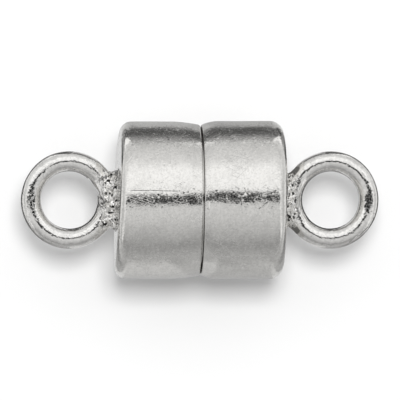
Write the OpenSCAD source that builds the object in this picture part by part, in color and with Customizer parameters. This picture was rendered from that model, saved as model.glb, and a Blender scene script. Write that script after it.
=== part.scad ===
// Barrel-shaped magnetic clasp, closed and lying on its side.
// Two silver cups meet at a seam. Each holds a disc magnet and carries a soldered wire ring.
// Millimetres. +X runs along the barrel from the left cup to the right cup and +Z is up.
// The origin is on the floor, under the middle of the seam.

/* [Barrel] */
// Outer diameter of both cups
barrel_d = 5.5; // [5:0.1:8]
// Length of each cup, from the middle of the seam to its end face
cup_len = 2.88; // [2.6:0.02:5]
// Gap between the two rims when the clasp is closed
seam_gap = 0.04; // [0.02:0.01:0.1]
// Thickness of the round wall
wall_t = 0.37; // [0.32:0.01:0.6]
// Thickness of the closed end
end_t = 0.4; // [0.35:0.01:0.8]

/* [Left cup edges] */
// Radius of the rounded shoulder at the left end
left_shoulder_r = 0.38; // [0.2:0.01:0.5]
// How far the left rim is spun in
left_rim_drop = 0.12; // [0.05:0.01:0.2]
// Length over which the left wall closes in to its rim
left_rim_len = 1.1; // [0.4:0.05:1.4]

/* [Right cup edges] */
// Radius of the rounded shoulder at the right end
right_shoulder_r = 0.45; // [0.2:0.01:0.5]
// How far the right rim is spun in
right_rim_drop = 0.17; // [0.05:0.01:0.2]
// Length over which the right wall closes in to its rim
right_rim_len = 0.45; // [0.4:0.05:1.4]

/* [Rings] */
// Diameter of the hole through each ring
ring_hole_d = 2; // [1.6:0.05:3]
// Diameter of the ring's round wire
wire_d = 0.7; // [0.5:0.05:0.8]
// Depth of the flat that the mandrel presses round the inside of a ring
mandrel_flat = 0.015; // [0.01:0.005:0.05]
// How far each ring is filed into the end face before soldering
ring_seat = 0.02; // [0.01:0.01:0.1]

/* [Solder] */
// Width of the solder web across the end face
solder_w = 1.94; // [1.4:0.02:2.1]
// Height of the web where it runs along the wire
solder_h = 0.64; // [0.4:0.02:0.66]
// Radius of the concave fillet where the web meets the end face
solder_fillet_r = 0.25; // [0.1:0.05:0.3]

/* [Magnets] */
// Clearance between a magnet and the bore of its cup
magnet_gap = 0.07; // [0.04:0.01:0.1]
// Depth of the left magnet's face below the seam
magnet_recess = 0.25; // [0.15:0.05:0.5]
// Gap between the two magnets' faces
magnets_apart = 0.04; // [0.02:0.01:0.1]
// Bed of glue between a magnet and the closed end
glue_t = 0.03; // [0.02:0.01:0.1]
// Chamfer round both faces of a magnet
magnet_chamfer = 0.12; // [0.05:0.01:0.2]

/* [Hidden] */
$fn = 96;

silver = "#cbc9c4";
nickel = "#a3a3a5";

barrel_r = barrel_d / 2;
bore_r = barrel_r - wall_t;
rim_x = seam_gap / 2;
bore_end_x = cup_len - end_t;

wire_r = wire_d / 2;
ring_hole_r = ring_hole_d / 2;
wire_loop_r = ring_hole_r - mandrel_flat + wire_r;
ring_outer_r = wire_loop_r + wire_r;
ring_x = cup_len + ring_outer_r - ring_seat;

// The web runs from inside the closed end to the crest of the wire
solder_foot_x = cup_len - end_t / 4;
solder_tip_x = ring_x - sqrt(pow(wire_loop_r, 2) - pow(solder_w / 2, 2));
solder_foot_h = solder_h + 2 * solder_fillet_r;

magnet_r = bore_r - magnet_gap;
magnet_back_x = bore_end_x - glue_t;

// Small overlap that lets a cutting shape pass clear through a face
cut = 0.1;

// Turns a shape made along Z so that it lies along X at the height of the barrel's axis
module along_barrel() {
    translate([0, 0, barrel_r])
        rotate([0, 90, 0])
            children();
}

// Half section of the cup without its rim shape: radius against distance from the seam
module cup_blank(shoulder_r) {
    translate([0, rim_x])
        square([barrel_r, cup_len - shoulder_r - rim_x]);
    translate([0, rim_x])
        square([barrel_r - shoulder_r, cup_len - rim_x]);
    translate([barrel_r - shoulder_r, cup_len - shoulder_r])
        circle(r = shoulder_r);
}

// Everything inside the arc that brings the wall in to the rim, and all beyond that arc
module rim_limit(rim_drop, rim_len) {
    rim_arc_r = (pow(rim_len, 2) + pow(rim_drop, 2)) / (2 * rim_drop);
    translate([barrel_r - rim_arc_r, rim_x + rim_len])
        circle(r = rim_arc_r, $fn = 360);
    translate([0, rim_x + rim_len])
        square([barrel_r + cut, cup_len]);
}

// Half section of the finished cup
module cup_section(shoulder_r, rim_drop, rim_len) {
    difference() {
        intersection() {
            cup_blank(shoulder_r);
            rim_limit(rim_drop, rim_len);
        }
        translate([-cut, rim_x - cut])
            square([bore_r + cut, bore_end_x - rim_x + cut]);
    }
}

// Closed wire ring, lying flat, with the mandrel's narrow flat inside its hole
module end_ring() {
    translate([ring_x, 0, barrel_r])
        difference() {
            rotate_extrude()
                translate([wire_loop_r, 0])
                    circle(r = wire_r);
            cylinder(r = ring_hole_r, h = wire_d, center = true);
        }
}

// Side view of the solder web: level along the wire, flared to the end face
module solder_side() {
    difference() {
        translate([solder_foot_x, -solder_foot_h / 2])
            square([solder_tip_x - solder_foot_x, solder_foot_h]);
        for (half = [0, 1])
            mirror([0, half])
                translate([cup_len + solder_fillet_r, solder_h / 2]) {
                    translate([0, solder_fillet_r])
                        circle(r = solder_fillet_r);
                    square([solder_tip_x, solder_fillet_r + cut]);
                }
    }
}

// Top view of the solder web: straight sided, ending on the crest of the wire
module solder_top() {
    difference() {
        translate([solder_foot_x, -solder_w / 2])
            square([solder_tip_x - solder_foot_x, solder_w]);
        translate([ring_x, 0])
            circle(r = wire_loop_r);
    }
}

// Solder web between the ring and the end face, rounded like a drop seen along the barrel
module solder_web() {
    translate([0, 0, barrel_r])
        intersection() {
            rotate([90, 0, 0])
                linear_extrude(height = solder_w, center = true)
                    solder_side();
            linear_extrude(height = solder_foot_h, center = true)
                solder_top();
            translate([solder_foot_x - cut, 0, 0])
                rotate([0, 90, 0])
                    cylinder(d = solder_w, h = solder_tip_x);
        }
}

// One soldered half of the clasp on the +X side
module cup(shoulder_r, rim_drop, rim_len) {
    along_barrel()
        rotate_extrude()
            cup_section(shoulder_r, rim_drop, rim_len);
    end_ring();
    solder_web();
}

// Disc magnet on the +X side, from its face to the glue at the back
module magnet(face_x) {
    along_barrel()
        rotate_extrude()
            polygon([
                [0, face_x],
                [magnet_r - magnet_chamfer, face_x],
                [magnet_r, face_x + magnet_chamfer],
                [magnet_r, magnet_back_x - magnet_chamfer],
                [magnet_r - magnet_chamfer, magnet_back_x],
                [0, magnet_back_x]
            ]);
}

module left_cup() {
    color(silver)
        mirror([1, 0, 0])
            cup(left_shoulder_r, left_rim_drop, left_rim_len);
}

module right_cup() {
    color(silver)
        cup(right_shoulder_r, right_rim_drop, right_rim_len);
}

module left_magnet() {
    color(nickel)
        mirror([1, 0, 0])
            magnet(magnet_recess);
}

// The right magnet stands out of its cup and enters the left one
module right_magnet() {
    color(nickel)
        magnet(magnets_apart - magnet_recess);
}

left_cup();
right_cup();
left_magnet();
right_magnet();
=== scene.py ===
"""Dresses the barrel-shaped magnetic clasp: satin silver cups, soldered wire rings, plated magnets.

Shapes are worked out in millimetres and written in metres. Each half is built in its own axes,
(out, across, up): out is counted along the barrel from the seam towards the half's ring, and up
from the barrel's axis. The half's side then turns them into the frame's X, Y and Z. Unless a
docstring says otherwise, points and vertices are rows of (out, across, up) in millimetres.
"""
import logging
import math
from dataclasses import dataclass
from enum import Enum

import bmesh
import bpy
import numpy as np
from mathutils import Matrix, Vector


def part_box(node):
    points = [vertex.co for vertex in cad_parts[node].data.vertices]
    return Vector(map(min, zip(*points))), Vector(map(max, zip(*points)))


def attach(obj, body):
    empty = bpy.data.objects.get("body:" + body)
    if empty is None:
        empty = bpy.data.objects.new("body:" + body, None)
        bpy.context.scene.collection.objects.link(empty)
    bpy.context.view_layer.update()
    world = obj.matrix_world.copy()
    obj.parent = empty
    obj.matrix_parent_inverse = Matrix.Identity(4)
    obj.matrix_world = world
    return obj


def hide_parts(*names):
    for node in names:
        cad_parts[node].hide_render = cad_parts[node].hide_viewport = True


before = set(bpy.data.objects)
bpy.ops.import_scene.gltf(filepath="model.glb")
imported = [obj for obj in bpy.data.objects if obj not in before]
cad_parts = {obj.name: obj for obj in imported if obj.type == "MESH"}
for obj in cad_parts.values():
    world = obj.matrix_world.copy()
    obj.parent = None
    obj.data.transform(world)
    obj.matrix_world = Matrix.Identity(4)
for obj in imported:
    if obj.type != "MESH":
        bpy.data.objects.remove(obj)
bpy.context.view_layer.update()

import openvdb
from mathutils import Vector

log = logging.getLogger("clasp")

Point = tuple[float, float]
Stops = tuple[Point, ...]
Colour = tuple[float, float, float]
Shape = tuple[np.ndarray, list]
Socket = bpy.types.NodeSocket
Value = float | tuple | Socket

MM = 0.001
FULL_TURN = 2.0 * math.pi
AXIS_HEIGHT = 2.75
CUP_LENGTH = 2.88
SHARP_EDGE = math.radians(50.0)
BUMP_UNIT = 0.01 * MM
FAR = 200.0


class Side(Enum):
    """A half of the clasp, with the way it points along X."""

    LEFT = -1
    RIGHT = 1


class Texture(Enum):
    """A surface pattern, with the name of its node group."""

    GRAIN = "satin_grain"
    SCRATCHES = "fine_scratches"
    PITS = "small_pits"
    CRYSTALS = "solder_crystals"


def smoothstep(low: float, high: float, value: np.ndarray) -> np.ndarray:
    """Maps values smoothly to a share.

    Args:
        low: Value at which the share is 0.
        high: Value at which it is 1.
        value: Values to be mapped.

    Returns:
        The shares.
    """
    share = np.clip((value - low) / (high - low), 0.0, 1.0)
    return share * share * (3.0 - 2.0 * share)


def smooth_union(a: np.ndarray, b: np.ndarray, fillet: float) -> np.ndarray:
    """Joins two shapes with a concave fillet.

    Args:
        a: Signed distances to the first.
        b: Signed distances to the second.
        fillet: Width over which the two blend.

    Returns:
        Signed distances to the joined shape.
    """
    blend = np.clip(0.5 + 0.5 * (b - a) / fillet, 0.0, 1.0)
    return b + (a - b) * blend - fillet * blend * (1.0 - blend)


def unit(rows: np.ndarray) -> np.ndarray:
    """Scales rows to unit length.

    Args:
        rows: Rows of coordinates.

    Returns:
        The scaled rows.
    """
    return rows / np.linalg.norm(rows, axis=1, keepdims=True)


@dataclass(frozen=True)
class Ripple:
    """Smooth random relief, made as a sum of plane waves.

    Attributes:
        wavelength: Middle wavelength.
        height: Height of one standard deviation.
        seed: Seed of the random draw.
        waves: Number of waves in the sum.
        spread: Shortest and longest wavelength, as shares of the middle one.
    """

    wavelength: float
    height: float
    seed: int
    waves: int = 24
    spread: Point = (0.7, 1.5)

    def at(self, points: np.ndarray) -> np.ndarray:
        """Gives the relief at points.

        Args:
            points: The points.

        Returns:
            Height of the relief at each.
        """
        draw = np.random.default_rng(self.seed)
        ways = unit(draw.normal(size=(self.waves, 3)))
        lengths = draw.uniform(*self.spread, self.waves) * self.wavelength
        phases = draw.uniform(0.0, FULL_TURN, self.waves)
        total = np.zeros(len(points))
        for way, length, phase in zip(ways, lengths, phases):
            total += np.cos(points @ way * (FULL_TURN / length) + phase)
        return self.height * total * math.sqrt(2.0 / self.waves)


@dataclass(frozen=True)
class Mark:
    """A dent in the mesh or a scored line in the finish, on the upper side.

    Attributes:
        start: One end, as (out, across) for a dent and (X, Y) for a scored line.
        end: The other end.
        width: Half-width of the mark.
        depth: Its depth, which is in hundredths of a millimetre for a scored line.
    """

    start: Point
    end: Point
    width: float
    depth: float

    def at(self, points: np.ndarray) -> np.ndarray:
        """Gives the depth of the dent at points of the cup.

        Args:
            points: The points.

        Returns:
            Depth of the dent at each.
        """
        out, across, up = points.T
        run_out, run_across = self.end[0] - self.start[0], self.end[1] - self.start[1]
        run = run_out**2 + run_across**2
        share = ((out - self.start[0]) * run_out + (across - self.start[1]) * run_across) / run
        share = np.clip(share, 0.0, 1.0)
        off_out = out - self.start[0] - share * run_out
        off_across = across - self.start[1] - share * run_across
        away = np.hypot(off_out, off_across)
        return np.where(up > 0.0, self.depth * np.exp(-((away / self.width) ** 2)), 0.0)


def arc(centre: Point, radius: float, start: float, end: float, steps: int) -> list[Point]:
    """Gives points of an arc in a half section.

    Args:
        centre: Its centre, as (distance from the axis, distance from the seam).
        radius: Its radius.
        start: First angle in degrees, from the way away from the axis.
        end: Last angle in degrees.
        steps: Number of steps between the two ends.

    Returns:
        The points from start to end.
    """
    angles = np.radians(np.linspace(start, end, steps + 1))
    ways = [(math.cos(angle), math.sin(angle)) for angle in angles]
    return [(centre[0] + radius * off, centre[1] + radius * along) for off, along in ways]


def straight(start: Point, end: Point, step: float) -> list[Point]:
    """Gives points of a straight stretch in a half section, without its last point.

    Args:
        start: First point.
        end: Last point, which is left out.
        step: Longest distance between points.

    Returns:
        The points from start on.
    """
    count = max(1, math.ceil(math.dist(start, end) / step))
    run = (end[0] - start[0], end[1] - start[1])
    shares = [index / count for index in range(count)]
    return [(start[0] + run[0] * share, start[1] + run[1] * share) for share in shares]


def revolved(profile: list[Point], sides: int) -> Shape:
    """Turns a closed half section about the barrel's axis.

    Args:
        profile: Its points, the first and last on the axis.
        sides: Number of steps round the axis.

    Returns:
        Vertices and faces.
    """
    body = np.array(profile[1:-1])
    turns = np.arange(sides) * (FULL_TURN / sides)
    out = np.repeat(body[:, 1:], sides, axis=1)
    across = np.outer(body[:, 0], np.sin(turns))
    up = np.outer(body[:, 0], np.cos(turns))
    rings = np.stack([out, across, up], axis=-1).reshape(-1, 3)
    ends = np.array([[profile[0][1], 0.0, 0.0], [profile[-1][1], 0.0, 0.0]])
    pairs = [(column, (column + 1) % sides) for column in range(sides)]
    first_end = len(rings)
    last_ring = first_end - sides
    faces = []
    for ring in range(0, last_ring, sides):
        following = ring + sides
        faces += [(ring + a, ring + b, following + b, following + a) for a, b in pairs]
    for a, b in pairs:
        faces.append((first_end, b, a))
        faces.append((first_end + 1, last_ring + a, last_ring + b))
    return np.vstack([rings, ends]), faces


def new_object(name: str, data: bpy.types.ID) -> bpy.types.Object:
    """Makes an object in the scene.

    Args:
        name: Its name.
        data: Its mesh, light or camera.

    Returns:
        The new object.
    """
    made = bpy.data.objects.new(name, data)
    bpy.context.scene.collection.objects.link(made)
    return made


def piece_from(name: str, vertices: np.ndarray, faces: list) -> bpy.types.Object:
    """Makes a closed piece whose faces look outwards.

    Args:
        name: Name of the piece and its mesh.
        vertices: Rows of X, Y and Z in metres.
        faces: Vertex indices of each face.

    Returns:
        The new piece.
    """
    data = bpy.data.meshes.new(name)
    data.from_pydata(vertices.tolist(), [], [tuple(map(int, face)) for face in faces])
    data.update()
    mesh = bmesh.new()
    mesh.from_mesh(data)
    if mesh.calc_volume(signed=True) < 0.0:
        data.flip_normals()
    mesh.free()
    return new_object(name, data)


def fuse(piece: bpy.types.Object, other: bpy.types.Object) -> None:
    """Makes two closed pieces one and removes the second.

    Args:
        piece: The piece that takes the other in.
        other: The piece that is joined to it.
    """
    union = piece.modifiers.new("fuse", "BOOLEAN")
    union.operation = "UNION"
    union.solver = "MANIFOLD"
    union.object = other
    graph = bpy.context.evaluated_depsgraph_get()
    joined = bpy.data.meshes.new_from_object(piece.evaluated_get(graph))
    spent = (piece.data, other.data)
    piece.modifiers.clear()
    piece.data = joined
    joined.name = piece.name
    bpy.data.objects.remove(other)
    for data in spent:
        bpy.data.meshes.remove(data)
    remove_specks(joined)


def remove_specks(data: bpy.types.Mesh) -> None:
    """Takes off the slivers, loose specks and doublets that a union leaves on rough surfaces.

    A doublet is a pair of faces round a vertex that has only two edges. It would give an edge
    with four triangles.

    Args:
        data: The mesh, which keeps the part that its lowest point is on.
    """
    sliver = 0.00001 * MM
    passes = 3
    mesh = bmesh.new()
    mesh.from_mesh(data)
    bmesh.ops.dissolve_degenerate(mesh, dist=sliver, edges=mesh.edges)
    lowest = min(mesh.verts, key=lambda vertex: vertex.co.z)
    kept = {lowest}
    front = [lowest]
    while front:
        vertex = front.pop()
        found = {edge.other_vert(vertex) for edge in vertex.link_edges} - kept
        kept |= found
        front += found
    specks = [vertex for vertex in mesh.verts if vertex not in kept]
    bmesh.ops.delete(mesh, geom=specks, context="VERTS")
    for _ in range(passes):
        middles = [vertex for vertex in mesh.verts if len(vertex.link_edges) == 2]
        bmesh.ops.dissolve_verts(mesh, verts=middles)
    mesh.to_mesh(data)
    mesh.free()


@dataclass
class Cup:
    """A spun silver cup: closed end, rounded shoulder, straight wall, rim closed in at the seam.

    Attributes:
        radius: Outer radius of the wall.
        shoulder: Radius of the rounded shoulder.
        rim_drop: How far the rim is closed in.
        rim_length: Length over which the wall closes in.
        end_lean: How far the end face leans, in millimetres for each millimetre across.
        seam_lean: How far the rim leans, likewise.
        oval: How far the wall swells on its slanting sides.
        marks: Dents.
        seed: Seed of the cup's random relief.
        length: Distance from the seam to the end face.
        seam: Distance from the middle of the seam to the rim.
        wall: Thickness of the wall.
        floor: Thickness of the closed end.
        lip: Radius of the rim's outer corner.
        lip_steps: Number of steps round that corner.
        inner_lip: Radius of the rim's inner corner.
        step: Longest distance between points along the wall.
        face_step: The same on the end face.
        sides: Number of steps round the axis.
    """

    radius: float
    shoulder: float
    rim_drop: float
    rim_length: float
    end_lean: float
    seam_lean: float
    oval: float
    marks: tuple[Mark, ...]
    seed: int
    length: float = CUP_LENGTH
    seam: float = 0.026
    wall: float = 0.37
    floor: float = 0.4
    lip: float = 0.055
    lip_steps: int = 6
    inner_lip: float = 0.04
    step: float = 0.045
    face_step: float = 0.12
    sides: int = 360

    def outer_profile(self) -> list[Point]:
        """Gives the half section from the middle of the end face to the rim's flat.

        Returns:
            Its points.
        """
        arm = (self.rim_length**2 + self.rim_drop**2) / (2.0 * self.rim_drop)
        rim_start = self.seam + self.rim_length
        turn = math.asin((self.rim_length - self.lip) / (arm - self.lip))
        turned = -math.degrees(turn)
        lip_middle = self.radius - arm + (arm - self.lip) * math.cos(turn)
        wall_top = self.length - self.shoulder
        face_edge = self.radius - self.shoulder
        shoulder_steps = math.ceil(self.shoulder * math.pi / 2.0 / self.step) + 4
        rim_steps = math.ceil(self.rim_length / self.step)
        profile = straight((0.0, self.length), (face_edge, self.length), self.face_step)
        profile += arc((face_edge, wall_top), self.shoulder, 90.0, 0.0, shoulder_steps)[:-1]
        profile += straight((self.radius, wall_top), (self.radius, rim_start), self.step)
        profile += arc((self.radius - arm, rim_start), arm, 0.0, turned, rim_steps)[:-1]
        middle = (lip_middle, self.seam + self.lip)
        return profile + arc(middle, self.lip, turned, -90.0, self.lip_steps)

    def inner_profile(self) -> list[Point]:
        """Gives the half section from the rim's inner corner to the middle of the floor.

        Returns:
            Its points.
        """
        bore = self.radius - self.wall
        depth = self.length - self.floor
        lip, corner, corner_steps, bore_step = self.inner_lip, 0.1, 4, 0.4
        profile = arc((bore + lip, self.seam + lip), lip, -90.0, -180.0, corner_steps)[:-1]
        profile += straight((bore, self.seam + lip), (bore, depth - corner), bore_step)
        profile += arc((bore - corner, depth - corner), corner, 0.0, 90.0, corner_steps)
        return profile + [(0.0, depth)]

    def relief(self, points: np.ndarray) -> np.ndarray:
        """Gives the height of the outside's ripples, oval and dents.

        Args:
            points: Points of the smooth cup.

        Returns:
            Height at each.
        """
        height = Ripple(1.5, 0.0022, self.seed).at(points)
        height += Ripple(0.42, 0.0006, self.seed + 1).at(points)
        height += self.oval * 2.0 * points[:, 1] * points[:, 2] / self.radius**2
        for mark in self.marks:
            height -= mark.at(points)
        return height

    def build(self) -> Shape:
        """Builds the cup.

        Returns:
            Vertices and faces.
        """
        outside = self.outer_profile()
        profile = outside + self.inner_profile()
        vertices, faces = revolved(profile, self.sides)
        rough_rows = len(outside) - self.lip_steps - 1
        along = unit(np.gradient(np.array(profile[1:-1]), axis=0))[:rough_rows]
        turns = np.tile(np.arange(self.sides) * (FULL_TURN / self.sides), rough_rows)
        away = np.repeat(-along[:, 1], self.sides)
        lift = np.repeat(along[:, 0], self.sides)
        normals = np.stack([lift, away * np.sin(turns), away * np.cos(turns)], axis=1)
        rough = vertices[: len(normals)]
        rough += normals * self.relief(rough)[:, None]
        out, across = vertices[:, 0], vertices[:, 1]
        middle = 0.35 * self.length
        end_share = smoothstep(middle, self.length - self.shoulder, out)
        rim_share = 1.0 - smoothstep(self.seam, middle, out)
        out -= across * (self.end_lean * end_share + self.seam_lean * rim_share)
        return vertices, faces

    def face_at(self, across: np.ndarray) -> np.ndarray:
        """Gives how far out the leaning end face is."""
        return self.length - self.end_lean * across


@dataclass(frozen=True)
class RingMark:
    """A flat that a file left on a ring, or a round dent in it.

    Attributes:
        bearing: Where it is round the ring, in degrees from the way out.
        slope: Where it is round the wire, in degrees from straight up, outwards.
        depth: Depth of metal taken off.
        ball: Radius of the ball that made the dent, which a flat doesn't have.
    """

    bearing: float
    slope: float
    depth: float
    ball: float = 0.0


@dataclass
class SolderedRing:
    """A closed wire ring with the solder that joins it to the end face of a cup.

    Attributes:
        cup: The cup that carries the ring.
        web_width: Half-width of the solder web.
        crust_start: Distance from the ring's middle towards the cup at which the crust begins.
        crust_width: Half-width of the crust.
        flats: Flats left by a file.
        nicks: Small dents.
        closure: Where the wire's ends meet, in degrees from the way out, or None.
        seed: Seed of the ring's random relief.
        closure_depth: How far the joint of the wire's ends opens the hole.
        centre: Distance from the seam to the middle of the ring.
        loop: Radius of the wire's centre line.
        wire: Radius of the wire.
        web_height: Half-height of the web where it meets the wire.
        crystal_height: Height of the solder's crystals.
        fillet: Width over which wire, solder and end face blend.
        voxel: Spacing of the grid that the surface is drawn from.
    """

    cup: Cup
    web_width: float
    crust_start: float
    crust_width: float
    flats: tuple[RingMark, ...]
    nicks: tuple[RingMark, ...]
    closure: float | None
    seed: int
    closure_depth: float = 0.085
    centre: float = 4.545
    loop: float = 1.335
    wire: float = 0.344
    web_height: float = 0.31
    crystal_height: float = 0.014
    fillet: float = 0.09
    voxel: float = 0.022

    def wire_distance(self, points: np.ndarray) -> np.ndarray:
        """Measures to the wire, which is a little uneven as hand-closed wire is.

        Args:
            points: The points.

        Returns:
            Signed distance of each.
        """
        out, across, up = points.T
        bearing = np.arctan2(across, out - self.centre)
        swell, ripple, sway = 0.006, 0.003, 0.007
        excess = swell * np.cos(2.0 * bearing + self.seed) + ripple * np.cos(5.0 * bearing + 1.0)
        loop = self.loop - sway * np.cos(2.0 * bearing + 0.6 * self.seed)
        return np.hypot(np.hypot(out - self.centre, across) - loop, up) - self.wire - excess

    def web_distance(self, points: np.ndarray) -> np.ndarray:
        """Measures to the solder between the ring and the end face.

        Args:
            points: The points.

        Returns:
            Signed distance of each.
        """
        out, across, up = points.T
        foot_length, foot_width, foot_height, hole_margin = 0.16, 0.03, 0.14, 0.12
        squareness, roundness, evenness = 4.0, 2.6, 3.2
        foot = np.exp(-np.maximum(out - self.cup.face_at(across), 0.0) / foot_length)
        beside = np.abs(across) / (self.web_width + foot_width * foot)
        over = np.abs(up) / (self.web_height + foot_height * foot)
        section = (beside**squareness + over**roundness) ** (1.0 / evenness) - 1.0
        hole = self.loop - hole_margin - np.hypot(out - self.centre, across)
        return np.maximum(np.maximum(section * self.web_height, hole), out - self.centre)

    def plate_distance(self, points: np.ndarray) -> np.ndarray:
        """Measures to a plate just under the end face, which the solder's fillet runs out on.

        Args:
            points: The points.

        Returns:
            Signed distance of each.
        """
        out, across, up = points.T
        sink, half_width, half_height = 0.012, 1.4, 0.95
        rim = np.hypot(across / half_width, up / half_height) - 1.0
        return np.maximum(out - (self.cup.face_at(across) - sink), half_height * rim)

    def closure_distance(self, points: np.ndarray) -> np.ndarray:
        """Measures to the pointed gap where the wire's ends meet.

        Args:
            points: The points.

        Returns:
            Signed distance of each.
        """
        bearing = math.radians(self.closure)
        way_out, way_across = math.cos(bearing), math.sin(bearing)
        out, across = points[:, 0] - self.centre, points[:, 1]
        along = out * way_out + across * way_across
        beside = across * way_out - out * way_across
        wide_side, narrow_side, length, past_tip, mouth, easing = 2.4, 0.9, 0.3, 0.05, 0.25, 0.5
        reach = self.loop - self.wire + self.closure_depth
        widening = np.where(beside < 0.0, wide_side, narrow_side)
        half_width = np.clip(reach - along, -past_tip, mouth) * widening
        ends = np.maximum(along - reach, reach - length - along)
        return np.maximum(np.abs(beside) - half_width, ends) * easing

    def seat(self, mark: RingMark) -> tuple[np.ndarray, np.ndarray]:
        """Gives the way that a mark faces, and the middle of the wire under it.

        Args:
            mark: A flat or a dent.

        Returns:
            The unit direction and the point.
        """
        bearing, slope = math.radians(mark.bearing), math.radians(mark.slope)
        outwards = np.array([math.cos(bearing), math.sin(bearing), 0.0])
        way = outwards * math.sin(slope) + np.array([0.0, 0.0, math.cos(slope)])
        return way, outwards * self.loop + np.array([self.centre, 0.0, 0.0])

    def distance(self, points: np.ndarray) -> np.ndarray:
        """Measures to the ring and its solder, without their small relief.

        Args:
            points: The points.

        Returns:
            Signed distance of each.
        """
        metal = smooth_union(self.wire_distance(points), self.web_distance(points), self.fillet)
        for flat in self.flats:
            way, middle = self.seat(flat)
            metal = np.maximum(metal, (points - middle) @ way - (self.wire - flat.depth))
        for nick in self.nicks:
            way, middle = self.seat(nick)
            ball = middle + way * (self.wire + nick.ball - nick.depth)
            metal = np.maximum(metal, nick.ball - np.linalg.norm(points - ball, axis=1))
        if self.closure is not None:
            metal = np.maximum(metal, -self.closure_distance(points))
        metal = smooth_union(metal, self.plate_distance(points), self.fillet)
        root_depth = 0.2
        return np.maximum(metal, self.cup.length - root_depth - points[:, 0])

    def crust_share(self, points: np.ndarray) -> np.ndarray:
        """Gives how far the solder's crust covers points.

        Args:
            points: The points.

        Returns:
            A share from 0 to 1 for each.
        """
        ragged = Ripple(0.5, 0.06, self.seed + 5).at(points)
        inwards = self.centre - points[:, 0] - self.crust_start + ragged
        beside = np.abs(points[:, 1]) - self.crust_width + ragged
        fade_in, fade_out = 0.35, 0.15
        return smoothstep(0.0, fade_in, inwards) * (1.0 - smoothstep(0.0, fade_out, beside))

    def crystals(self, points: np.ndarray) -> np.ndarray:
        """Gives the height of the solder's crystals: long cells, each tilted at random.

        Args:
            points: The points.

        Returns:
            Height at each.
        """
        count, chunk, limit, stretch = 620, 4000, 0.09, 0.78
        half_width, half_height, root, overlap = 1.15, 0.62, 0.1, 0.2
        grain_spread = np.array([1.0, 0.7, 0.3])
        draw = np.random.default_rng(self.seed)
        low = np.array([self.cup.length - root, -half_width, -half_height])
        high = np.array([self.centre - self.crust_start + overlap, half_width, half_height])
        seeds = draw.uniform(low, high, (count, 3))
        tilts = unit(draw.normal(size=(count, 3)))
        grain = unit(draw.normal(size=(count, 3)) * grain_spread)
        height = np.zeros(len(points))
        for start in range(0, len(points), chunk):
            offset = points[start : start + chunk, None, :] - seeds
            length = (offset * grain).sum(axis=2)
            away = (offset**2).sum(axis=2) - stretch * length**2
            nearest = np.argmin(away, axis=1)
            nearby = offset[np.arange(len(offset)), nearest]
            height[start : start + chunk] = (nearby * tilts[nearest]).sum(axis=1)
        return np.clip(height, -limit, limit) * self.crystal_height / limit

    def relief(self, points: np.ndarray) -> np.ndarray:
        """Gives the height of the small relief of wire and solder.

        Args:
            points: The points.

        Returns:
            Height at each.
        """
        crust = self.crust_share(points)
        height = Ripple(0.5, 0.0012, self.seed + 2).at(points)
        height += Ripple(0.13, 0.00035, self.seed + 3).at(points)
        covered = crust > 0.0
        solder = points[covered]
        height[covered] += crust[covered] * self.crystals(solder)
        height[covered] += crust[covered] * Ripple(0.28, 0.0045, self.seed + 4).at(solder)
        return height

    def filed_share(self, points: np.ndarray) -> np.ndarray:
        """Tells which points lie on one of the file's flats.

        Args:
            points: The points.

        Returns:
            1 for each point on a flat and 0 for the others.
        """
        tolerance, reach = 0.0035, 0.05
        share = np.zeros(len(points))
        for flat in self.flats:
            way, middle = self.seat(flat)
            off_plane = np.abs((points - middle) @ way - (self.wire - flat.depth))
            away = np.linalg.norm(points - middle, axis=1) - self.wire
            share = np.maximum(share, (off_plane < tolerance) * (away < reach))
        return share

    def way_off(self, points: np.ndarray) -> np.ndarray:
        """Gives the way that leads off the smooth shape.

        Args:
            points: Points near its surface.

        Returns:
            What to multiply a distance by to move each point so far off the shape.
        """
        nudge, least_slope = 0.003, 0.2
        shifts = np.eye(3) * nudge
        rises = [self.distance(points + shift) - self.distance(points - shift) for shift in shifts]
        slope = np.stack(rises, axis=1) / (2.0 * nudge)
        steepness = np.linalg.norm(slope, axis=1, keepdims=True)
        return slope / np.maximum(steepness, least_slope) ** 2

    def build(self) -> Shape:
        """Draws the surface from a grid of signed distances and settles it on the exact shape.

        Returns:
            Vertices and faces.
        """
        margin, root, half_height, rough_reach, passes = 0.08, 0.26, 1.02, 0.09, 3
        outer = self.loop + self.wire + margin
        low = np.array([self.cup.length - root, -outer, -half_height])
        high = np.array([self.centre + outer, outer, half_height])
        counts = np.ceil((high - low) / self.voxel).astype(int) + 1
        axes = [start + self.voxel * np.arange(count) for start, count in zip(low, counts)]
        points = np.stack(np.meshgrid(*axes, indexing="ij"), axis=-1).reshape(-1, 3)
        distances = self.distance(points)
        near = np.flatnonzero(np.abs(distances) < rough_reach)
        distances[near] -= self.relief(points[near])
        grid = openvdb.FloatGrid()
        grid.copyFromArray(distances.reshape(counts).astype(np.float32))
        places, quads = grid.convertToQuads(0.0)
        vertices = low + self.voxel * np.asarray(places, dtype=float)
        for _ in range(passes):
            height = self.relief(vertices)
            vertices -= self.way_off(vertices) * (self.distance(vertices) - height)[:, None]
        return vertices, list(np.asarray(quads))


@dataclass
class Part:
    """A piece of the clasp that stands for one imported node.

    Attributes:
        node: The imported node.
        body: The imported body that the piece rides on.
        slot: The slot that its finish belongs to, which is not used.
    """

    node: str
    body: str
    slot: str

    def dress(self, piece: bpy.types.Object, material: bpy.types.Material) -> None:
        """Gives the piece its finish and puts it in the place of its node.

        Args:
            piece: The piece.
            material: Its material.
        """
        piece.data.shade_smooth()
        piece.data.set_sharp_from_angle(angle=SHARP_EDGE)
        piece.data.materials.clear()
        piece.data.materials.append(material)
        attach(piece, self.body)
        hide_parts(self.node)


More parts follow.
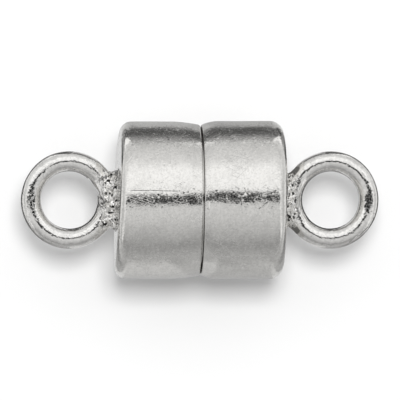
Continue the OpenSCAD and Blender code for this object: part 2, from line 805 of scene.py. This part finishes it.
@dataclass
class Half(Part):
    """One soldered half of the clasp: a cup, its ring and the solder between them.

    Attributes:
        side: Which half it is.
        cup: Its cup.
        ring: Its ring with the solder.
    """

    side: Side
    cup: Cup
    ring: SolderedRing

    def placed(self, points: np.ndarray) -> np.ndarray:
        """Turns points into the frame's X, Y and Z, in metres."""
        return (points * (self.side.value, 1.0, 1.0) + (0.0, 0.0, AXIS_HEIGHT)) * MM

    def build(self) -> bpy.types.Object:
        """Builds the half as one closed piece.

        Returns:
            The new piece.
        """
        vertices, faces = self.cup.build()
        piece = piece_from(f"{self.node}_silver", self.placed(vertices), faces)
        vertices, faces = self.ring.build()
        fuse(piece, piece_from(f"{self.node}_ring", self.placed(vertices), faces))
        self.mark_regions(piece.data)
        return piece

    def mark_regions(self, data: bpy.types.Mesh) -> None:
        """Writes how much of each point is wire, solder crust, filed flat or inside, which is
        darkened as painted shade.

        Args:
            data: The mesh of the half.
        """
        places = np.zeros(len(data.vertices) * 3)
        data.vertices.foreach_get("co", places)
        points = places.reshape(-1, 3) / MM - (0.0, 0.0, AXIS_HEIGHT)
        points *= (self.side.value, 1.0, 1.0)
        fade, rim_edge, rim_end, floor_share = 0.03, 0.02, 0.05, 0.9
        past_face = smoothstep(0.0, fade, points[:, 0] - self.cup.face_at(points[:, 1]))
        rim_radius = self.cup.radius - self.cup.rim_drop
        below_rim = rim_radius - np.hypot(points[:, 1], points[:, 2])
        before_end = points[:, 0] < self.cup.length - floor_share * self.cup.floor
        # The inside share carries painted shade: the bore and the rim's inner side are darkened.
        shares = {
            "wire": past_face,
            "crust": past_face * self.ring.crust_share(points),
            "filed": self.ring.filed_share(points),
            "inside": smoothstep(rim_edge, rim_end, below_rim) * before_end,
        }
        for name, share in shares.items():
            attribute = data.attributes.new(name, "FLOAT", "POINT")
            attribute.data.foreach_set("value", share.astype(np.float32))


@dataclass
class Magnet(Part):
    """A plated disc magnet with rounded edges, fixed in one half.

    Attributes:
        edge: Radius of its rounded edges.
        edge_steps: Number of steps round an edge.
        step: Longest distance between points along its flats.
        sides: Number of steps round the axis.
    """

    edge: float = 0.11
    edge_steps: int = 6
    step: float = 0.2
    sides: int = 192

    def build(self) -> bpy.types.Object:
        """Builds the disc within its node's box.

        Returns:
            The new piece.
        """
        low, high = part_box(self.node)
        near, far = low.x / MM, high.x / MM
        radius = (high.z - low.z) / 2.0 / MM
        flat, edge, step = radius - self.edge, self.edge, self.step
        profile = [(0.0, near)]
        profile += straight((step, near), (flat, near), step)
        profile += arc((flat, near + edge), edge, -90.0, 0.0, self.edge_steps)
        profile += straight((radius, near + edge), (radius, far - edge), step)[1:]
        profile += arc((flat, far - edge), edge, 0.0, 90.0, self.edge_steps)
        profile += straight((flat, far), (0.0, far), step)[1:]
        vertices, faces = revolved(profile + [(0.0, far)], self.sides)
        vertices[:, 2] += (high.z + low.z) / 2.0 / MM
        return piece_from(f"{self.node}_plated", vertices * MM, faces)


@dataclass
class Nodes:
    """Short ways to add nodes to a tree. Operands are constants or sockets.

    Attributes:
        tree: The node tree that takes the nodes.
    """

    tree: bpy.types.NodeTree

    def fill(self, node: bpy.types.Node, inputs: dict[str | int, Value]) -> None:
        """Fills inputs of a node.

        Args:
            node: The node.
            inputs: Constants or sockets, by the name or the number of the input.
        """
        for key, value in inputs.items():
            if isinstance(value, Socket):
                self.tree.links.new(value, node.inputs[key])
            else:
                node.inputs[key].default_value = value

    def add(self, kind: str, inputs: dict | None = None, **settings: object) -> bpy.types.Node:
        """Adds a node.

        Args:
            kind: Type name of the node.
            inputs: Constants or sockets, by the name or the number of the input.
            settings: Properties of the node, by name.

        Returns:
            The new node.
        """
        node = self.tree.nodes.new(kind)
        for name, value in settings.items():
            setattr(node, name, value)
        self.fill(node, inputs or {})
        return node

    def math(self, operation: str, *values: Value) -> Socket:
        """Adds a math node."""
        inputs = dict(enumerate(values))
        return self.add("ShaderNodeMath", inputs, operation=operation).outputs[0]

    def vector(self, operation: str, *values: Value) -> Socket:
        """Adds a vector math node, whose output is a number for a dot product."""
        node = self.add("ShaderNodeVectorMath", dict(enumerate(values)), operation=operation)
        return node.outputs["Value" if operation == "DOT_PRODUCT" else "Vector"]

    def scaled(self, vector: Value, factor: Value) -> Socket:
        """Multiplies a vector or colour by a number."""
        inputs = {0: vector, "Scale": factor}
        return self.add("ShaderNodeVectorMath", inputs, operation="SCALE").outputs[0]

    def mapped(self, value: Socket, source: Point, target: Point) -> Socket:
        """Maps a value smoothly from one range to another.

        Args:
            value: The value to be mapped.
            source: Ends of the range that it comes from.
            target: Ends of the range that it goes to.

        Returns:
            The mapped value.
        """
        names = ("Value", "From Min", "From Max", "To Min", "To Max")
        inputs = dict(zip(names, (value, *source, *target)))
        node = self.add("ShaderNodeMapRange", inputs, interpolation_type="SMOOTHSTEP", clamp=True)
        return node.outputs["Result"]

    def mixed_colour(self, share: Socket, first: Value, second: Value) -> Socket:
        """Mixes two colours by a share."""
        settings = {"data_type": "VECTOR", "factor_mode": "UNIFORM"}
        return self.add("ShaderNodeMix", {0: share, 4: first, 5: second}, **settings).outputs[1]

    def mixed_value(self, share: Socket, first: Value, second: Value) -> Socket:
        """Mixes two values by a share."""
        inputs = {0: share, 2: first, 3: second}
        return self.add("ShaderNodeMix", inputs, data_type="FLOAT").outputs[0]

    def ramp(self, value: Socket, low: float, high: float, stops: Stops) -> Socket:
        """Maps a value to brightness through stops.

        Args:
            value: The value to be mapped.
            low: Value at the ramp's start.
            high: Value at the ramp's end.
            stops: Value and brightness of each stop.

        Returns:
            The brightness.
        """
        inputs = {"Value": value, "From Min": low, "From Max": high}
        share = self.add("ShaderNodeMapRange", inputs).outputs["Result"]
        ramp = self.add("ShaderNodeValToRGB", {"Fac": share})
        elements = ramp.color_ramp.elements
        elements.remove(elements[1])
        for index, (at, level) in enumerate(stops):
            place = (at - low) / (high - low)
            element = elements[0] if index == 0 else elements.new(place)
            element.position = place
            element.color = (level, level, level, 1.0)
        return ramp.outputs["Color"]

    def noise(self, points: Socket, scale: float, detail: float) -> Socket:
        """Adds noise from 0 to 1, with scale features for each unit and detail finer layers."""
        inputs = {"Vector": points, "Scale": scale, "Detail": detail, "Roughness": 0.6}
        return self.add("ShaderNodeTexNoise", inputs).outputs["Fac"]

    def cells(self, points: Socket, scale: float) -> bpy.types.NodeOutputs:
        """Adds random cells, so many for each unit."""
        inputs = {"Vector": points, "Scale": scale, "Randomness": 1.0}
        return self.add("ShaderNodeTexVoronoi", inputs).outputs

    def facets(self, points: Socket) -> tuple[Socket, Socket]:
        """Adds flat cells that are each tilted at random.

        Args:
            points: Coordinates, counted in cells.

        Returns:
            The height, and a random number from 0 to 1 for each cell.
        """
        cells = self.cells(points, 1.0)
        tilt = self.vector("SUBTRACT", cells["Color"], (0.5, 0.5, 0.5))
        offset = self.vector("SUBTRACT", points, cells["Position"])
        height = self.vector("DOT_PRODUCT", offset, tilt)
        chance = self.add("ShaderNodeTexWhiteNoise", {"Vector": cells["Position"]})
        return height, chance.outputs["Value"]

    def split(self, vector: Socket) -> bpy.types.NodeOutputs:
        """Gives a vector's X, Y and Z."""
        return self.add("ShaderNodeSeparateXYZ", {0: vector}).outputs

    def millimetres(self) -> Socket:
        """Gives an object's own coordinates in millimetres."""
        return self.scaled(self.add("ShaderNodeTexCoord").outputs["Object"], 1.0 / MM)

    def share(self, name: str) -> Socket:
        """Reads one of the shares written on the mesh."""
        return self.add("ShaderNodeAttribute", attribute_name=name).outputs["Fac"]

    def pattern(self, group: bpy.types.NodeTree, points: Socket) -> bpy.types.NodeOutputs:
        """Adds a pattern and gives its outputs, Height and Tone."""
        return self.add("ShaderNodeGroup", {"Points": points}, node_tree=group).outputs

    def bump(self, height: Socket, distance: float) -> Socket:
        """Turns a height into a normal."""
        inputs = {"Height": height, "Distance": distance}
        return self.add("ShaderNodeBump", inputs).outputs["Normal"]


class Pattern(Nodes):
    """A surface pattern, as a node group that takes Points and gives Height and Tone."""

    def __init__(self, texture: Texture) -> None:
        """Builds the group.

        Args:
            texture: Which pattern it is.
        """
        super().__init__(bpy.data.node_groups.new(texture.value, "ShaderNodeTree"))
        self.tree.interface.new_socket("Points", in_out="INPUT", socket_type="NodeSocketVector")
        self.tree.interface.new_socket("Height", in_out="OUTPUT", socket_type="NodeSocketFloat")
        self.tree.interface.new_socket("Tone", in_out="OUTPUT", socket_type="NodeSocketFloat")
        self.points = self.add("NodeGroupInput").outputs["Points"]
        makers = {
            Texture.GRAIN: self.grain,
            Texture.SCRATCHES: self.scratches,
            Texture.PITS: self.pits,
            Texture.CRYSTALS: self.crystals,
        }
        height, tone = makers[texture]()
        self.add("NodeGroupOutput", {"Height": height, "Tone": tone})

    def grain(self) -> tuple[Socket, Socket]:
        """Draws tumbled silver: fine waves, a few steeper peened facets, and a cloudy tone.

        Returns:
            Height and tone.
        """
        waves = self.math("SUBTRACT", self.noise(self.points, scale=18.0, detail=1.0), 0.5)
        peened, chance = self.facets(self.scaled(self.points, 15.0))
        steep = self.mapped(chance, (0.62, 0.84), (0.15, 1.25))
        peened = self.math("MULTIPLY", peened, steep)
        height = self.math("MULTIPLY_ADD", waves, 0.3, peened)
        clouds = self.noise(self.points, scale=1.6, detail=3.0)
        drawn = self.vector("MULTIPLY", self.points, (9.0, 3.0, 3.0))
        tone = self.math("ADD", clouds, self.noise(drawn, scale=1.0, detail=2.0))
        speckle = self.math("SUBTRACT", self.noise(self.points, scale=13.0, detail=1.0), 0.5)
        tone = self.math("MULTIPLY_ADD", speckle, 1.2, tone)
        return height, self.mapped(tone, (0.5, 1.5), (0.0, 1.0))

    def scratches(self) -> tuple[Socket, Socket]:
        """Draws short hairline scratches that run several ways.

        Returns:
            Height and tone.
        """
        lines = None
        for turn, across in ((0.35, 7.0), (1.25, 6.0), (2.5, 8.0)):
            inputs = {"Vector": self.points, "Angle": turn}
            turned = self.add("ShaderNodeVectorRotate", inputs).outputs[0]
            drawn = self.vector("MULTIPLY", turned, (0.35, across, 1.1))
            middle = self.math("SUBTRACT", self.noise(drawn, scale=1.0, detail=0.0), 0.5)
            line = self.mapped(self.math("ABSOLUTE", middle), (0.0, 0.014), (1.0, 0.0))
            lines = line if lines is None else self.math("MAXIMUM", lines, line)
        clouds = self.noise(self.points, scale=1.3, detail=2.0)
        tone = self.math("MULTIPLY", lines, self.mapped(clouds, (0.5, 0.66), (0.0, 1.0)))
        return self.math("MULTIPLY", tone, -1.0), tone

    def pits(self) -> tuple[Socket, Socket]:
        """Draws small round pits of uneven size, with most cells free of one.

        Returns:
            Height and tone.
        """
        cells = self.cells(self.points, 2.6)
        chance = self.split(cells["Color"])[0]
        size = self.mapped(chance, (0.55, 1.0), (0.0, 0.12))
        inside = self.math("SUBTRACT", size, cells["Distance"])
        tone = self.mapped(inside, (0.0, 0.06), (0.0, 1.0))
        return self.math("MULTIPLY", tone, -1.0), tone

    def crystals(self) -> tuple[Socket, Socket]:
        """Draws the tilted facets of frozen solder, with smaller ones on them.

        Returns:
            Height and tone.
        """
        large, chance = self.facets(self.vector("MULTIPLY", self.points, (12.5, 10.5, 11.0)))
        small, _ = self.facets(self.scaled(self.points, 18.0))
        return self.math("MULTIPLY_ADD", small, 0.3, large), chance


def new_material(name: str) -> tuple[bpy.types.Material, Nodes, bpy.types.Node]:
    """Makes a material.

    Args:
        name: Its name.

    Returns:
        The material, its nodes and its shader.
    """
    material = bpy.data.materials.new(name)
    material.use_nodes = True
    return material, Nodes(material.node_tree), material.node_tree.nodes["Principled BSDF"]


@dataclass(frozen=True)
class Surface:
    """How one region of a metal piece looks.

    Attributes:
        colour: Colour that it reflects, linear.
        roughness: Its roughness.
        grain: Height of the grain, in hundredths of a millimetre.
    """

    colour: Colour
    roughness: float
    grain: float = 0.0


@dataclass(frozen=True)
class SilverFinish:
    """Tumbled silver with brighter wire and a crust of solder.

    Attributes:
        name: Name of the material.
        wall: Look of the cup.
        wire: Look of the ring.
        crust: Look of the solder.
        filed: Look of the file's flats.
        inside: Look of the rim's inner side and the bore, darkened as painted shade so that the
            narrow gap at the seam reads black.
        scratches: Depth of the scratches, in hundredths of a millimetre.
        pits: Depth of the pits, likewise.
        crystals: Height of the solder's facets, likewise.
        upper_side: Height over the floor from which scored lines are cut.
        scores: Fine scored lines and pits that are too fine for the mesh.
    """

    name: str
    wall: Surface
    wire: Surface
    crust: Surface
    filed: Surface
    inside: Surface
    scratches: float
    pits: float
    crystals: float
    upper_side: float
    scores: tuple[Mark, ...]

    def material(self, patterns: dict[Texture, bpy.types.NodeTree]) -> bpy.types.Material:
        """Builds the material.

        Args:
            patterns: The patterns' groups.

        Returns:
            The material.
        """
        material, nodes, shader = new_material(self.name)
        points = nodes.millimetres()
        wire, crust = nodes.share("wire"), nodes.share("crust")
        filed, inside = nodes.share("filed"), nodes.share("inside")
        spread = nodes.scaled(points, nodes.mixed_value(wire, 1.0, 0.72))
        grain = nodes.pattern(patterns[Texture.GRAIN], spread)
        scratches = nodes.pattern(patterns[Texture.SCRATCHES], points)
        pits = nodes.pattern(patterns[Texture.PITS], points)
        crystals = nodes.pattern(patterns[Texture.CRYSTALS], points)
        colour, rough = self.wall.colour, self.wall.roughness
        # The inside's dark colour mixed in here is painted shade for the seam's narrow gap.
        for share, look in ((wire, self.wire), (filed, self.filed), (inside, self.inside)):
            colour = nodes.mixed_colour(share, colour, look.colour)
            rough = nodes.mixed_value(share, rough, look.roughness)
        streaks = nodes.mapped(grain["Tone"], (0.0, 1.0), (0.93, 1.05))
        dim = nodes.mapped(crystals["Tone"], (0.12, 0.34), (0.04, 1.0))
        solder = nodes.scaled(self.crust.colour, dim)
        colour = nodes.mixed_colour(crust, nodes.scaled(colour, streaks), solder)
        rough = nodes.mixed_value(crust, rough, self.crust.roughness)
        cloudy = nodes.mapped(grain["Tone"], (0.0, 1.0), (0.85, 1.2))
        rough = nodes.math("MULTIPLY", rough, cloudy)
        coarse = nodes.mixed_value(wire, self.wall.grain, self.wire.grain)
        height = nodes.math("MULTIPLY", grain["Height"], coarse)
        height = nodes.math("MULTIPLY_ADD", scratches["Height"], self.scratches, height)
        height = nodes.math("MULTIPLY_ADD", pits["Height"], self.pits, height)
        height = nodes.math("MULTIPLY", height, nodes.math("SUBTRACT", 1.0, crust))
        crusted = nodes.mapped(crust, (0.2, 1.0), (0.0, self.crystals))
        height = nodes.math("MULTIPLY_ADD", crystals["Height"], crusted, height)
        normal = nodes.bump(self.scored(nodes, points, height), BUMP_UNIT)
        inputs = {"Base Color": colour, "Metallic": 1.0, "Roughness": rough, "Normal": normal}
        nodes.fill(shader, inputs)
        return material

    def scored(self, nodes: Nodes, points: Socket, height: Socket) -> Socket:
        """Cuts the scored lines into a height.

        Args:
            nodes: The material's nodes.
            points: Coordinates in millimetres.
            height: Height before the lines are cut.

        Returns:
            The height with the lines.
        """
        place = nodes.split(points)
        on_top = nodes.math("GREATER_THAN", place["Z"], self.upper_side)
        for score in self.scores:
            run = (score.end[0] - score.start[0], score.end[1] - score.start[1])
            length = math.hypot(*run)
            way_x, way_y = run[0] / length, run[1] / length
            from_x = nodes.math("SUBTRACT", place["X"], score.start[0])
            from_y = nodes.math("SUBTRACT", place["Y"], score.start[1])
            along = nodes.math("MULTIPLY", from_x, way_x)
            along = nodes.math("MULTIPLY_ADD", from_y, way_y, along)
            beside = nodes.math("MULTIPLY", from_x, way_y)
            beside = nodes.math("MULTIPLY_ADD", from_y, -way_x, beside)
            off_middle = nodes.math("ABSOLUTE", nodes.math("SUBTRACT", along, length / 2.0))
            past_end = nodes.math("SUBTRACT", off_middle, length / 2.0)
            past_end = nodes.math("MAXIMUM", past_end, 0.0)
            square = nodes.math("MULTIPLY", past_end, past_end)
            away = nodes.math("SQRT", nodes.math("MULTIPLY_ADD", beside, beside, square))
            cut = nodes.mapped(away, (0.0, score.width), (-score.depth, 0.0))
            height = nodes.math("MULTIPLY_ADD", cut, on_top, height)
        return height


@dataclass(frozen=True)
class PlatedFinish:
    """Smooth plating.

    Attributes:
        name: Name of the material.
        surface: Its look.
    """

    name: str
    surface: Surface

    def material(self, patterns: dict[Texture, bpy.types.NodeTree]) -> bpy.types.Material:
        """Builds the material.

        Args:
            patterns: The patterns' groups.

        Returns:
            The material.
        """
        material, nodes, shader = new_material(self.name)
        grain = nodes.pattern(patterns[Texture.GRAIN], nodes.millimetres())
        height = nodes.math("MULTIPLY", grain["Height"], self.surface.grain)
        spread = (0.85 * self.surface.roughness, 1.25 * self.surface.roughness)
        rough = nodes.mapped(grain["Tone"], (0.0, 1.0), spread)
        nodes.fill(shader, {"Roughness": rough, "Normal": nodes.bump(height, BUMP_UNIT)})
        nodes.fill(shader, {"Base Color": (*self.surface.colour, 1.0), "Metallic": 1.0})
        return material


def level_sheet(name: str, low: Point, high: Point, lift: float) -> bpy.types.Object:
    """Makes a level rectangle.

    Args:
        name: Its name.
        low: Its lowest X and Y in millimetres.
        high: Its highest X and Y.
        lift: Its height over the floor.

    Returns:
        The new object.
    """
    outline = (low, (high[0], low[1]), high, (low[0], high[1]))
    mesh = bpy.data.meshes.new(name)
    mesh.from_pydata([(x * MM, y * MM, lift * MM) for x, y in outline], [], [(0, 1, 2, 3)])
    return new_object(name, mesh)


@dataclass(frozen=True)
class Card:
    """A graded glowing card on the table that only mirrors see. Its glow is painted reflection: the
    brightness that the metal mirrors there, darker where the table next to the clasp lies in
    shadow.

    Attributes:
        name: Its name.
        start: Its edge towards -X, in millimetres.
        end: Its edge towards +X.
        stops: Y in millimetres and brightness of each stop, in rising order.
        lift: Its height over the table.
    """

    name: str
    start: float
    end: float
    stops: Stops
    lift: float = 0.01

    def build(self) -> bpy.types.Object:
        """Lays the card over the table.

        Returns:
            The new card.
        """
        low, high = self.stops[0][0], self.stops[-1][0]
        laid = level_sheet(self.name, (self.start, low), (self.end, high), self.lift)
        material, nodes, shader = new_material(self.name)
        nodes.tree.nodes.remove(shader)
        level = nodes.ramp(nodes.split(nodes.millimetres())["Y"], low, high, self.stops)
        # Painted reflection: the card glows at its stops' brightness, and only the metal's
        # reflections see it.
        glow = nodes.add("ShaderNodeEmission", {"Color": level, "Strength": 1.0})
        nodes.fill(nodes.tree.nodes["Material Output"], {"Surface": glow.outputs["Emission"]})
        material.cycles.emission_sampling = "NONE"
        laid.data.materials.append(material)
        for ray in ("camera", "diffuse", "shadow", "transmission", "volume_scatter"):
            setattr(laid, f"visible_{ray}", False)
        return laid


@dataclass
class Studio:
    """A white table top, a tent of soft light with a dark slit overhead, glowing cards of painted
    reflection, and the camera.

    Angles of the tent are counted in degrees from straight up towards +Y.

    Attributes:
        tent: Angle and brightness of each stop round the barrel's axis.
        tent_ends: Share of the way along X and brightness of each stop towards the tent's ends.
        cards: The graded cards on the table, whose glow is painted reflection.
        key_angle: Angle of the key light.
        key_distance: Distance of the key light in metres.
        key_size: Side of the key light in metres.
        key_power: Power of the key light in watts.
        camera_tilt: How far the camera leans towards -X, in degrees.
        camera_distance: Distance of the camera in metres.
        sensor: Width of the camera's sensor, in millimetres as its lens.
        view_width: Width of the picture at the clasp, in metres.
    """

    tent: Stops
    tent_ends: Stops
    cards: tuple[Card, ...]
    key_angle: float = 11.0
    key_distance: float = 0.3
    key_size: float = 0.08
    key_power: float = 0.56
    camera_tilt: float = 3.1
    camera_distance: float = 0.18
    sensor: float = 36.0
    view_width: float = 13.888 * MM

    def build(self) -> None:
        """Builds the floor, the lights, the cards and the camera."""
        staged = [self.floor(), self.key()]
        staged += [card.build() for card in self.cards]
        self.world()
        self.camera()

    def floor(self) -> bpy.types.Object:
        """Lays a matt white table top with a faint grain.

        Returns:
            The table top.
        """
        half = 400.0
        top = level_sheet("table_top", (-half, -half), (half, half), 0.0)
        material, nodes, shader = new_material("white_board")
        height = nodes.noise(nodes.millimetres(), scale=4.0, detail=2.0)
        inputs = {
            "Base Color": (0.82, 0.82, 0.82, 1.0),
            "Roughness": 0.9,
            "Specular IOR Level": 0.1,
            "Normal": nodes.bump(height, 0.2 * BUMP_UNIT),
        }
        nodes.fill(shader, inputs)
        top.data.materials.append(material)
        return top

    def world(self) -> None:
        """Lights everything with a gradient that depends on the angle about the barrel's axis."""
        world = bpy.data.worlds.new("tent")
        bpy.context.scene.world = world
        world.use_nodes = True
        nodes = Nodes(world.node_tree)
        way = nodes.split(nodes.add("ShaderNodeTexCoord").outputs["Generated"])
        angle = nodes.math("ARCTAN2", way["Y"], way["Z"])
        angle = nodes.math("MULTIPLY", angle, 180.0 / math.pi)
        round_barrel = nodes.ramp(angle, -180.0, 180.0, self.tent)
        along = nodes.math("ABSOLUTE", way["X"])
        at_ends = nodes.ramp(along, 0.0, 1.0, self.tent_ends)
        share = nodes.mapped(along, (0.7, 0.84), (0.0, 1.0))
        inputs = {0: share, 6: round_barrel, 7: at_ends}
        colour = nodes.add("ShaderNodeMix", inputs, data_type="RGBA").outputs[2]
        nodes.fill(nodes.tree.nodes["Background"], {"Color": colour, "Strength": 1.0})

    def key(self) -> bpy.types.Object:
        """Hangs a soft square light a little towards +Y.

        Returns:
            The light.
        """
        light = bpy.data.lights.new("key_light", "AREA")
        light.size = self.key_size
        light.energy = self.key_power
        lamp = new_object("key_light", light)
        angle = math.radians(self.key_angle)
        lamp.location = Vector((0.0, math.sin(angle), math.cos(angle))) * self.key_distance
        lamp.rotation_euler = (-angle, 0.0, 0.0)
        lamp.visible_glossy = False
        return lamp

    def camera(self) -> None:
        """Hangs the camera over the clasp, with X to the right of the picture and Y up it."""
        lens = bpy.data.cameras.new("camera")
        lens.sensor_width = self.sensor
        lens.lens = self.sensor * self.camera_distance / self.view_width
        lens.clip_start = 0.005
        lens.clip_end = 5.0
        camera = new_object("camera", lens)
        tilt = math.radians(self.camera_tilt)
        back = Vector((-math.sin(tilt), 0.0, math.cos(tilt)))
        camera.location = Vector((0.0, 0.0, AXIS_HEIGHT * MM)) + back * self.camera_distance
        camera.rotation_euler = (0.0, -tilt, 0.0)
        bpy.context.scene.camera = camera
        bpy.context.scene.view_settings.view_transform = "Standard"


def left_half() -> Half:
    """Gives the left half: a long, soft crimp, a leaning end face and a ring with an open joint.

    Returns:
        The half, not yet built.
    """
    cup = Cup(
        radius=2.725,
        shoulder=0.38,
        rim_drop=0.12,
        rim_length=1.1,
        end_lean=0.038,
        seam_lean=0.004,
        oval=-0.025,
        marks=(Mark((2.46, 1.80), (2.55, 1.62), 0.055, 0.014),),
        seed=11,
    )
    ring = SolderedRing(
        cup=cup,
        web_width=0.97,
        crust_start=0.96,
        crust_width=0.98,
        flats=(),
        nicks=(RingMark(352.0, 20.0, 0.012, 0.05), RingMark(15.0, 35.0, 0.010, 0.04)),
        closure=168.0,
        seed=21,
    )
    return Half("left_cup", "left_half", "silver", Side.LEFT, cup, ring)


def right_half() -> Half:
    """Gives the right half: a short, round crimp and a ring with two ground flats.

    Returns:
        The half, not yet built.
    """
    cup = Cup(
        radius=2.742,
        shoulder=0.45,
        rim_drop=0.14,
        rim_length=0.62,
        end_lean=0.0,
        seam_lean=-0.004,
        oval=0.017,
        marks=(),
        seed=12,
    )
    ring = SolderedRing(
        cup=cup,
        web_width=0.93,
        crust_start=1.03,
        crust_width=0.84,
        flats=(RingMark(143.0, 58.0, 0.035), RingMark(217.0, 56.0, 0.035)),
        nicks=(RingMark(5.0, 25.0, 0.014, 0.05), RingMark(-15.0, 20.0, 0.014, 0.05)),
        closure=None,
        seed=22,
    )
    return Half("right_cup", "right_half", "silver", Side.RIGHT, cup, ring)


def tumbled_silver() -> SilverFinish:
    """Gives the silver's finish, with the marks that the photograph shows.

    Returns:
        The finish.
    """
    return SilverFinish(
        name="tumbled_silver",
        wall=Surface((0.83, 0.82, 0.795), 0.11, 0.72),
        wire=Surface((0.86, 0.85, 0.83), 0.07, 1.15),
        crust=Surface((0.97, 0.96, 0.94), 0.06),
        filed=Surface((0.30, 0.295, 0.285), 0.35),
        # Dark inside: painted shade for the seam's narrow gap.
        inside=Surface((0.34, 0.33, 0.31), 0.4),
        scratches=0.3,
        pits=0.6,
        crystals=12.0,
        upper_side=2.8,
        scores=(
            Mark((-3.66, 0.55), (-3.49, 0.24), 0.03, 1.2),
            Mark((5.20, -1.48), (5.43, -1.24), 0.035, 2.0),
            Mark((5.56, -1.23), (5.83, -0.96), 0.035, 2.0),
            Mark((5.62, 0.93), (5.72, 0.80), 0.035, 2.0),
            Mark((6.08, 0.16), (6.09, 0.15), 0.045, 2.5),
            Mark((-2.48, 0.315), (-1.55, 0.31), 0.03, 0.3),
            Mark((-1.62, 0.30), (-0.91, 0.29), 0.03, 0.25),
            Mark((-2.42, 1.52), (-2.60, 1.28), 0.035, 0.5),
            Mark((-1.37, 1.215), (-1.36, 1.215), 0.05, 1.2),
            Mark((-1.85, 0.80), (-1.84, 0.79), 0.04, 0.9),
            Mark((-1.73, 0.59), (-1.72, 0.58), 0.04, 0.9),
            Mark((1.40, -2.37), (1.42, -2.34), 0.05, 1.2),
            Mark((0.15, -0.07), (0.15, -0.28), 0.05, 0.8),
        ),
    )


def studio() -> Studio:
    """Gives the studio whose reflections match the photograph's.

    Returns:
        The studio, not yet built.
    """
    tent = (
        (-180.0, 0.45), (-90.0, 0.42), (-70.0, 0.33), (-50.0, 0.48), (-20.0, 0.69),
        (-4.8, 0.69), (-2.4, 0.03), (6.0, 0.01), (8.0, 0.1), (13.0, 1.0),
        (45.0, 1.08), (60.0, 0.8), (84.0, 0.68), (90.0, 0.58), (180.0, 0.45),
    )
    tent_ends = ((0.0, 0.85), (0.7, 0.85), (0.85, 0.9), (0.95, 0.65), (1.0, 0.5))
    # These stops are painted reflection: what the metal mirrors of the table, with painted shade
    # where it lies in shadow next to the clasp.
    behind = (
        (6.5, 0.25), (7.3, 0.1), (12.0, 0.1), (14.0, 0.17), (20.0, 0.3), (35.0, 0.46),
        (FAR, 0.5),
    )
    below_left = (
        (-FAR, 0.42), (-45.0, 0.42), (-25.0, 0.55), (-12.0, 0.61), (-6.5, 0.59),
        (-4.0, 0.5), (4.0, 0.5), (5.8, 0.52), (6.5, 0.3),
    )
    below_right = (
        (-FAR, 0.38), (-40.0, 0.38), (-19.0, 0.41), (-12.0, 0.48), (-6.5, 0.48),
        (-4.0, 0.45), (4.0, 0.45), (5.6, 0.46), (6.5, 0.25),
    )
    faces = ((-FAR, 0.38), (-20.0, 0.5), (-6.0, 0.65), (2.5, 0.75), (4.0, 0.6), (6.5, 0.4))
    rings = (
        (-FAR, 0.38), (-40.0, 0.38), (-19.0, 0.42), (-12.0, 0.45), (-4.0, 0.4), (-1.2, 0.32),
        (0.0, 0.08), (2.7, 0.03), (3.4, 0.3), (4.4, 0.3), (5.0, 0.03), (6.5, 0.03),
    )
    edges = (
        (-FAR, 0.38), (-12.0, 0.45), (-4.0, 0.25), (0.0, 0.1), (2.8, 0.05), (4.2, 0.35),
        (6.5, 0.35),
    )
    tips = ((-FAR, 0.4), (-6.0, 0.45), (-3.0, 0.08), (1.9, 0.08), (2.4, 0.85), (8.0, 0.7))
    ends = ((-FAR, 0.4), (-20.0, 0.45), (-8.0, 0.6), (0.0, 0.9), (8.0, 0.7), (FAR, 0.55))
    cards = [
        Card("back_card", -7.0, 7.0, behind),
        Card("left_barrel_card", -CUP_LENGTH, 0.0, below_left),
        Card("right_barrel_card", 0.0, CUP_LENGTH, below_right),
    ]
    strips = (
        ("face", CUP_LENGTH, 4.2, faces),
        ("ring", 4.2, 6.3, rings),
        ("edge", 6.3, 9.0, edges),
        ("tip", 9.0, 11.0, tips),
        ("end", 11.0, FAR, ends),
    )
    for side in Side:
        for part, start, end, stops in strips:
            low, high = sorted((side.value * start, side.value * end))
            cards.append(Card(f"{side.name.lower()}_{part}_card", low, high, stops))
    return Studio(tent, tent_ends, tuple(cards))


def main() -> None:
    """Builds the clasp piece by piece, then the studio."""
    logging.basicConfig(level=logging.INFO, format="%(name)s: %(message)s")
    patterns = {texture: Pattern(texture).tree for texture in Texture}
    plating = PlatedFinish("nickel_plating", Surface((0.68, 0.665, 0.64), 0.14, 0.02))
    silver = tumbled_silver().material(patterns)
    nickel = plating.material(patterns)
    parts = (
        (left_half(), silver),
        (right_half(), silver),
        (Magnet("left_magnet", "left_half", "magnet_plating"), nickel),
        (Magnet("right_magnet", "right_core", "magnet_plating"), nickel),
    )
    for part, material in parts:
        piece = part.build()
        part.dress(piece, material)
        log.info("built %s with %d faces", piece.name, len(piece.data.polygons))
    studio().build()
    log.info("lit the studio and hung the camera")


if __name__ == "__main__":
    main()
